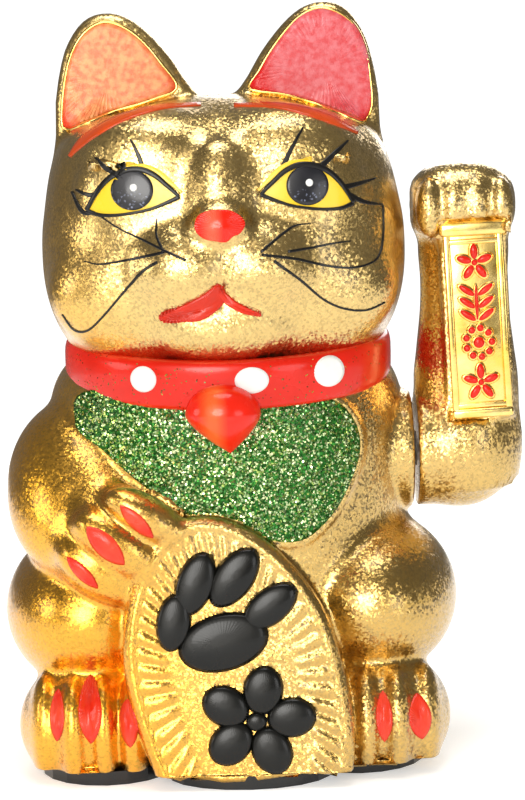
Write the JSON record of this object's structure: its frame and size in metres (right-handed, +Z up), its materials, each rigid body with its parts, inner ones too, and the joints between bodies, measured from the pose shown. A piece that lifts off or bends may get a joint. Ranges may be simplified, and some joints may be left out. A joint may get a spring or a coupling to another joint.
{
  "type": "beckoning cat figurine",
  "caption": "Seated gold cat figurine with a swinging raised paw, red collar and bell, green glitter bib and an oval coin, driven by a coil and pendulum over a battery bay.",
  "frame": {"origin": "centre of the resting face of the base plate", "axes": "+Z up, the cat faces -Y, its raised left arm is on +X"},
  "size_m": [0.1949, 0.1361, 0.2761],
  "materials": {
    "gold": "satin",
    "bright_gold": "polished",
    "red_paint": "gloss",
    "pink_paint": "satin",
    "white_paint": "gloss",
    "yellow_paint": "gloss",
    "black_paint": "gloss",
    "green_glitter": "gloss",
    "black_plastic": "satin",
    "grey_plastic": "matte",
    "steel": "satin",
    "brass": "satin",
    "copper_wire": "gloss",
    "magnet": "matte",
    "board": "satin",
    "cell_sleeve": "gloss",
    "red_sleeve": "satin",
    "black_sleeve": "satin"
  },
  "bodies": {
    "figure": {"front_shell": "gold", "rear_shell": "gold", "base_plate": "black_plastic", "battery_1": "cell_sleeve", "battery_2": "cell_sleeve", "contact_bridge": "steel", "contact_positive": "steel", "contact_negative": "steel", "contact_spring_front": "steel", "contact_spring_rear": "steel", "switch_can": "steel", "pivot_frame": "grey_plastic", "bearing_bush_inner": "brass", "bearing_bush_outer": "brass", "drive_board": "board", "coil_bobbin": "grey_plastic", "coil_winding": "copper_wire", "transistor": "black_plastic", "capacitor": "black_plastic", "base_screw_1": "steel", "base_screw_2": "steel", "base_screw_3": "steel", "base_screw_4": "steel", "frame_screw_1": "steel", "frame_screw_2": "steel", "frame_screw_3": "steel", "frame_screw_4": "steel", "board_screw_1": "steel", "board_screw_2": "steel", "lead_red": "red_sleeve", "lead_black": "black_sleeve", "lead_switch": "black_sleeve"},
    "waving_arm": {"arm_front_shell": "gold", "arm_rear_shell": "gold", "arm_hub": "grey_plastic", "arm_plaque": "bright_gold", "arm_shaft": "steel", "shaft_collar_inner": "steel", "shaft_collar_outer": "steel", "pendulum_lever": "grey_plastic", "counterweight": "steel", "pendulum_magnet": "magnet"},
    "cover": {"battery_cover": "black_plastic"},
    "slider": {"switch_slider": "black_plastic"}
  },
  "joints": [
    {"name": "arm_swing", "type": "hinge", "parent": "figure", "child": "waving_arm", "pos_m": [0, 0, 0.112], "axis": [1, 0, 0], "range_deg": [-25, 25]},
    {"name": "cover_hinge", "type": "hinge", "parent": "figure", "child": "cover", "pos_m": [-0.0225, 0.0302, 0.002], "axis": [1, 0, 0], "range_deg": [0, 95]},
    {"name": "switch_slide", "type": "slide", "parent": "figure", "child": "slider", "axis": [1, 0, 0], "range_m": [0, 0.004]}
  ]
}
